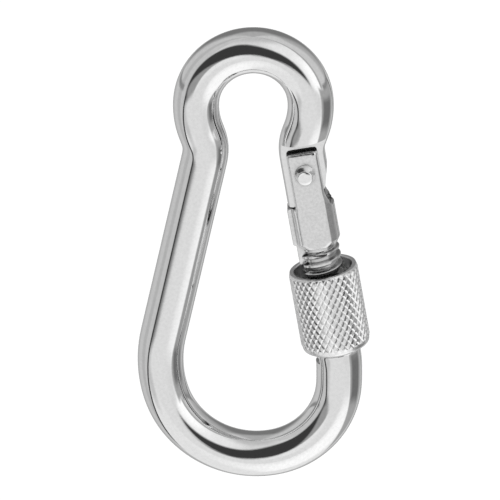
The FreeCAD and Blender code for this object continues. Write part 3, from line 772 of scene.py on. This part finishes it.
def steel(name, shade, roughness, spread, scratch, grain, mottle, painted_shade_range):
    """Bare stainless steel. Roughness and relief vary over the surface.

    Painted shade: the colour darkens towards black in recesses, found by ambient occlusion,
    from the second openness in the last argument, where it starts, to the first, where it is
    complete.
    """
    material = bpy.data.materials.new(name)
    material.use_nodes = True
    tree = material.node_tree
    nodes, links = tree.nodes, tree.links
    shader = nodes["Principled BSDF"]
    shader.inputs["Metallic"].default_value = 1.0
    place = nodes.new("ShaderNodeTexCoord")

    def noise(scale, detail, stretch=(1, 1, 1)):
        mapping = nodes.new("ShaderNodeMapping")
        mapping.inputs["Scale"].default_value = stretch
        links.new(place.outputs["Object"], mapping.inputs["Vector"])
        texture = nodes.new("ShaderNodeTexNoise")
        texture.inputs["Scale"].default_value = scale
        texture.inputs["Detail"].default_value = detail
        links.new(mapping.outputs["Vector"], texture.inputs["Vector"])
        return texture.outputs["Fac"]

    def remap(value, low, high, to_low, to_high):
        node = nodes.new("ShaderNodeMapRange")
        for socket, number in zip(node.inputs[1:5], (low, high, to_low, to_high)):
            socket.default_value = number
        links.new(value, node.inputs[0])
        return node.outputs[0]

    # colour: a faint cloudiness, as left by polishing and handling
    tint = nodes.new("ShaderNodeMix")
    tint.data_type = "RGBA"
    tint.inputs["A"].default_value = (*[shade * (1 - mottle)] * 3, 1)
    tint.inputs["B"].default_value = (*[shade] * 3, 1)
    links.new(remap(noise(2400, 6), 0.38, 0.62, 0, 1), tint.inputs["Factor"])
    # painted shade: ambient occlusion darkens the colour in recesses and in gaps between parts
    recess = nodes.new("ShaderNodeAmbientOcclusion")
    recess.samples = 8
    recess.inputs["Distance"].default_value = 1.8 * MM
    painted_shade_mix = nodes.new("ShaderNodeMix")
    painted_shade_mix.data_type = "RGBA"
    painted_shade_mix.blend_type = "MULTIPLY"
    painted_shade_mix.inputs["B"].default_value = (0.05, 0.05, 0.05, 1)
    links.new(remap(recess.outputs["AO"], *painted_shade_range, 1, 0), painted_shade_mix.inputs["Factor"])
    links.new(tint.outputs["Result"], painted_shade_mix.inputs["A"])
    links.new(painted_shade_mix.outputs["Result"], shader.inputs["Base Color"])
    # roughness: clouds, with fine streaks in two directions
    clouds = remap(noise(420, 6), 0.3, 0.7, roughness - spread, roughness + spread)
    streaks = remap(noise(900, 8, (1, 1, 9)), 0.45, 0.75, 0, spread)
    total = nodes.new("ShaderNodeMath")
    total.operation = "ADD"
    links.new(clouds, total.inputs[0])
    links.new(streaks, total.inputs[1])
    links.new(total.outputs[0], shader.inputs["Roughness"])
    # relief: hair scratches and the faint waviness of a tumbled surface
    fine = nodes.new("ShaderNodeBump")
    fine.inputs["Strength"].default_value = scratch
    fine.inputs["Distance"].default_value = 0.02 * MM
    links.new(noise(2600, 6, (1, 1, 5)), fine.inputs["Height"])
    wave = nodes.new("ShaderNodeBump")
    wave.inputs["Strength"].default_value = grain
    wave.inputs["Distance"].default_value = 0.1 * MM
    links.new(noise(330, 2), wave.inputs["Height"])
    links.new(fine.outputs["Normal"], wave.inputs["Normal"])
    links.new(wave.outputs["Normal"], shader.inputs["Normal"])
    return material


# ---------------------------------------------------------------- scene

def dress(obj, material, body, node):
    """Gives a piece its metal, the body that it moves with and the CAD node it stands for."""
    obj.data.materials.clear()
    obj.data.materials.append(material)
    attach(obj, body)
    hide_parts(node)


def make_floor():
    """Pale studio table well below the hanging hook."""
    below, reach = 0.035, 3.0
    level = CAD_BOX[0].z - below
    mesh = bpy.data.meshes.new("studio_floor")
    corners = [(-reach, -reach), (reach, -reach), (reach, reach), (-reach, reach)]
    mesh.from_pydata([(x, y, level) for x, y in corners], [], [(0, 1, 2, 3)])
    floor = bpy.data.objects.new("studio_floor", mesh)
    bpy.context.scene.collection.objects.link(floor)
    material = bpy.data.materials.new("floor_paint")
    material.use_nodes = True
    shader = material.node_tree.nodes["Principled BSDF"]
    shader.inputs["Base Color"].default_value = (0.93, 0.93, 0.93, 1)
    shader.inputs["Roughness"].default_value = 0.9
    shader.inputs["Emission Color"].default_value = (1, 1, 1, 1)
    shader.inputs["Emission Strength"].default_value = 0.60
    mesh.materials.append(material)
    floor.visible_glossy = False


class Studio:
    """Brightness of the studio by direction, as a chain of soft-edged panels.

    Directions are in degrees: azimuth 0 is the front, -Y, and 90 is +X; elevation is
    above the horizon.
    """

    def __init__(self, tree):
        self.tree = tree
        place = tree.nodes.new("ShaderNodeTexCoord")
        self.direction = tree.nodes.new("ShaderNodeVectorMath")
        self.direction.operation = "NORMALIZE"
        tree.links.new(place.outputs["Generated"], self.direction.inputs[0])
        parts = tree.nodes.new("ShaderNodeSeparateXYZ")
        tree.links.new(self.direction.outputs[0], parts.inputs[0])
        front = self.math("MULTIPLY", parts.outputs["Y"], -1.0)
        sideways = self.math("ARCTAN2", parts.outputs["X"], front)
        self.azimuth = self.math("MULTIPLY", sideways, TO_DEGREES)
        rise = self.math("ARCSINE", parts.outputs["Z"])
        self.elevation = self.math("MULTIPLY", rise, TO_DEGREES)
        self.light = None

    def math(self, operation, first, second=None):
        node = self.tree.nodes.new("ShaderNodeMath")
        node.operation = operation
        for socket, value in zip(node.inputs, (first, second)):
            if value is None:
                continue
            if isinstance(value, (int, float)):
                socket.default_value = value
            else:
                self.tree.links.new(value, socket)
        return node.outputs[0]

    def step(self, value, start, end):
        """0 before start, 1 after end, and smooth between them."""
        node = self.tree.nodes.new("ShaderNodeMapRange")
        node.interpolation_type = "SMOOTHSTEP"
        self.tree.links.new(value, node.inputs[0])
        limits = (start, end, 0.0, 1.0) if start < end else (end, start, 1.0, 0.0)
        for socket, number in zip(node.inputs[1:5], limits):
            socket.default_value = number
        return node.outputs[0]

    def both(self, *masks):
        result = masks[0]
        for mask in masks[1:]:
            result = self.math("MULTIPLY", result, mask)
        return result

    def oval(self, azimuth, elevation, wide, tall, soft, power=2.0):
        """Mask of an oval panel, squarer for a higher power.

        Soft is the share of its radius that fades out.
        """
        total = None
        for angle, middle, radius in (
            (self.azimuth, azimuth, wide), (self.elevation, elevation, tall)
        ):
            share = self.math("DIVIDE", self.math("SUBTRACT", angle, middle), radius)
            share = self.math("POWER", self.math("ABSOLUTE", share), power)
            total = share if total is None else self.math("ADD", total, share)
        reach = self.math("POWER", total, 1 / power)
        return self.step(reach, 1 + soft / 2, 1 - soft / 2)

    def line(self, azimuth, lean_deg):
        """Angle from a straight edge that meets the horizon at this azimuth.

        Positive to the right of the edge. It leans by this angle from the horizon.
        """
        a, lean = math.radians(azimuth), math.radians(lean_deg)
        along = Vector((math.sin(a), -math.cos(a), 0))
        ahead = Vector((math.cos(a), math.sin(a), 0))
        rising = ahead * math.cos(lean) + Vector((0, 0, math.sin(lean)))
        normal = rising.cross(along) * -1
        if normal.dot(ahead) < 0:
            normal.negate()
        node = self.tree.nodes.new("ShaderNodeVectorMath")
        node.operation = "DOT_PRODUCT"
        self.tree.links.new(self.direction.outputs[0], node.inputs[0])
        node.inputs[1].default_value = normal
        sine = self.math("ARCSINE", node.outputs["Value"])
        return self.math("MULTIPLY", sine, TO_DEGREES)

    def panel(self, brightness, mask=None):
        """Lays a panel of this brightness over what is there already."""
        if mask is None:
            self.light = self.math("ADD", brightness, 0.0)
            return
        node = self.tree.nodes.new("ShaderNodeMix")
        self.tree.links.new(mask, node.inputs["Factor"])
        self.tree.links.new(self.light, node.inputs["A"])
        node.inputs["B"].default_value = brightness
        self.light = node.outputs["Result"]


def make_world():
    """White tent with a dark gap at the front, darker walls at the sides, white below."""
    world = bpy.data.worlds.new("studio")
    bpy.context.scene.world = world
    world.use_nodes = True
    tree = world.node_tree
    sky = Studio(tree)
    azimuth, elevation, step = sky.azimuth, sky.elevation, sky.step
    sky.panel(0.74)
    # ceiling
    sky.panel(0.56, step(elevation, 50, 78))
    # bright panel at the front right
    sky.panel(0.90, sky.both(step(azimuth, 5, 30), step(elevation, 68, 45)))
    sky.panel(1.15, sky.oval(60, 2, 22, 26, 1.2))
    # white table in front
    sky.panel(0.86, step(elevation, -6, -17))
    sky.panel(0.60, sky.oval(-54, -24, 16, 14, 0.9))
    sky.panel(1.10, sky.oval(42, -58, 50, 30, 1.0))
    # right wall, and the dark ground between it and the table's edge
    right_wall = sky.both(step(azimuth, 66, 72), step(elevation, -4, 0))
    sky.panel(0.64, right_wall)
    sky.panel(0.40, sky.both(right_wall, step(azimuth, 80, 73)))
    sky.panel(0.44, sky.both(right_wall, step(azimuth, 104, 125), step(elevation, 62, 48)))
    right_edge = sky.line(38, -60)
    ground = sky.both(step(right_edge, 0, 5), step(elevation, 0, -5), step(azimuth, 50, 62))
    ground = sky.both(ground, step(azimuth, 142, 124))
    sky.panel(0.40, ground)
    dark_ground = sky.both(ground, step(azimuth, 60, 74), step(azimuth, 122, 108))
    sky.panel(0.17, sky.both(dark_ground, step(elevation, -8, -16), step(elevation, -36, -28)))
    # left wall, and its foot
    left_edge = sky.line(-52, 62.6)
    left = sky.both(step(left_edge, 0, -5), step(azimuth, -50, -60))
    sky.panel(0.60, left)
    sky.panel(0.50, sky.both(left, step(azimuth, -82, -90), step(azimuth, -112, -100)))
    foot = sky.both(step(left_edge, -6, -4), step(left_edge, 2, 0.5), step(elevation, 2, -4))
    sky.panel(0.06, sky.both(foot, step(azimuth, -128, -100)))
    # back wall, out of the light
    away = sky.math("ABSOLUTE", azimuth)
    back = sky.both(step(away, 125, 158), step(elevation, -66, -50))
    sky.panel(0.44, back)
    sky.panel(0.20, sky.both(back, step(elevation, 62, 42), step(elevation, -4, 8)))
    # where the walls meet the ground
    horizon = sky.both(step(elevation, -6, -2), step(elevation, 3, 0))
    sky.panel(0.27, sky.both(horizon, step(away, 76, 86), step(away, 150, 130)))
    # dark gap at the front, where the picture is taken from
    sky.panel(0.045, sky.both(sky.oval(-22, 3, 42, 49, 0.22), step(elevation, -20, -8)))
    sky.panel(0.045, sky.both(sky.oval(-4, -2, 33, 38, 0.3), step(elevation, -18, -9)))
    sky.panel(0.34, sky.oval(-32, -4, 25, 12, 0.5))
    sky.panel(0.88, sky.oval(-12, -12, 14, 15, 0.5))
    apron = sky.both(step(elevation, -4, -11), step(elevation, -34, -18))
    sky.panel(0.76, sky.both(apron, step(azimuth, 2, 14), step(azimuth, 58, 48)))
    sky.panel(0.80, sky.both(step(elevation, -8, -16), sky.oval(-12, -20, 40, 12, 0.5)))
    background = tree.nodes["Background"]
    tree.links.new(sky.light, background.inputs["Strength"])
    background.inputs["Color"].default_value = (1, 1, 1, 1)
    # the camera itself sees plain white beyond the floor
    plain = tree.nodes.new("ShaderNodeBackground")
    plain.inputs["Strength"].default_value = 1.0
    path = tree.nodes.new("ShaderNodeLightPath")
    choice = tree.nodes.new("ShaderNodeMixShader")
    tree.links.new(path.outputs["Is Camera Ray"], choice.inputs[0])
    tree.links.new(background.outputs[0], choice.inputs[1])
    tree.links.new(plain.outputs[0], choice.inputs[2])
    tree.links.new(choice.outputs[0], tree.nodes["World Output"].inputs["Surface"])


def make_camera():
    """Long lens, 22 degrees above the horizon, straight from the front."""
    elevation = math.radians(22.0)
    width_seen = 65.2 * MM
    aim_right, aim_up = -0.44 * MM, 0.455 * MM
    camera = bpy.data.objects.new("camera", bpy.data.cameras.new("camera"))
    bpy.context.scene.collection.objects.link(camera)
    camera.data.lens = 800
    distance = width_seen * camera.data.lens / camera.data.sensor_width
    back = Vector((0, -math.cos(elevation), math.sin(elevation)))
    low, high = CAD_BOX
    target = Vector((aim_right, 0, (low.z + high.z) / 2 + aim_up))
    camera.location = target + back * distance
    camera.rotation_mode = "QUATERNION"
    camera.rotation_quaternion = (-back).to_track_quat("-Z", "Y")
    camera.data.clip_start, camera.data.clip_end = 0.1, 30
    bpy.context.scene.camera = camera


# shade, roughness, spread, scratch, grain, mottle, and the openness range of the painted shade
# in recesses
polished = steel("polished_bar", 0.89, 0.045, 0.02, 0.08, 0.05, 0.05, (0.05, 0.55))
milled = steel("milled_gate", 0.84, 0.15, 0.05, 0.3, 0.2, 0.10, (0.22, 0.86))
headed = steel("headed_rivet", 0.95, 0.08, 0.02, 0.1, 0.1, 0.05, (0.1, 0.7))
knurled = steel("knurled_ring", 0.96, 0.28, 0.05, 0.08, 0.02, 0.06, (0.02, 0.5))
drawn = steel("drawn_wire", 0.72, 0.25, 0.06, 0.2, 0.05, 0.1, (0.1, 0.8))

make_camera()
make_world()
make_floor()
dress(make_bar(), polished, "hook", "hook_body")
dress(make_gate(), milled, "gate", "gate")
dress(make_rivet(), headed, "gate", "hinge_rivet")
dress(make_plunger(), milled, "plunger", "spring_plunger")
spring = make_spring()
dress(spring, drawn, "gate", "gate_spring")
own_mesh(spring)
dress(make_sleeve(), knurled, "sleeve", "lock_sleeve")
dress(make_ring(), knurled, "sleeve_slide", "sleeve_inner_ring")

bpy.context.scene.view_settings.view_transform = "Standard"
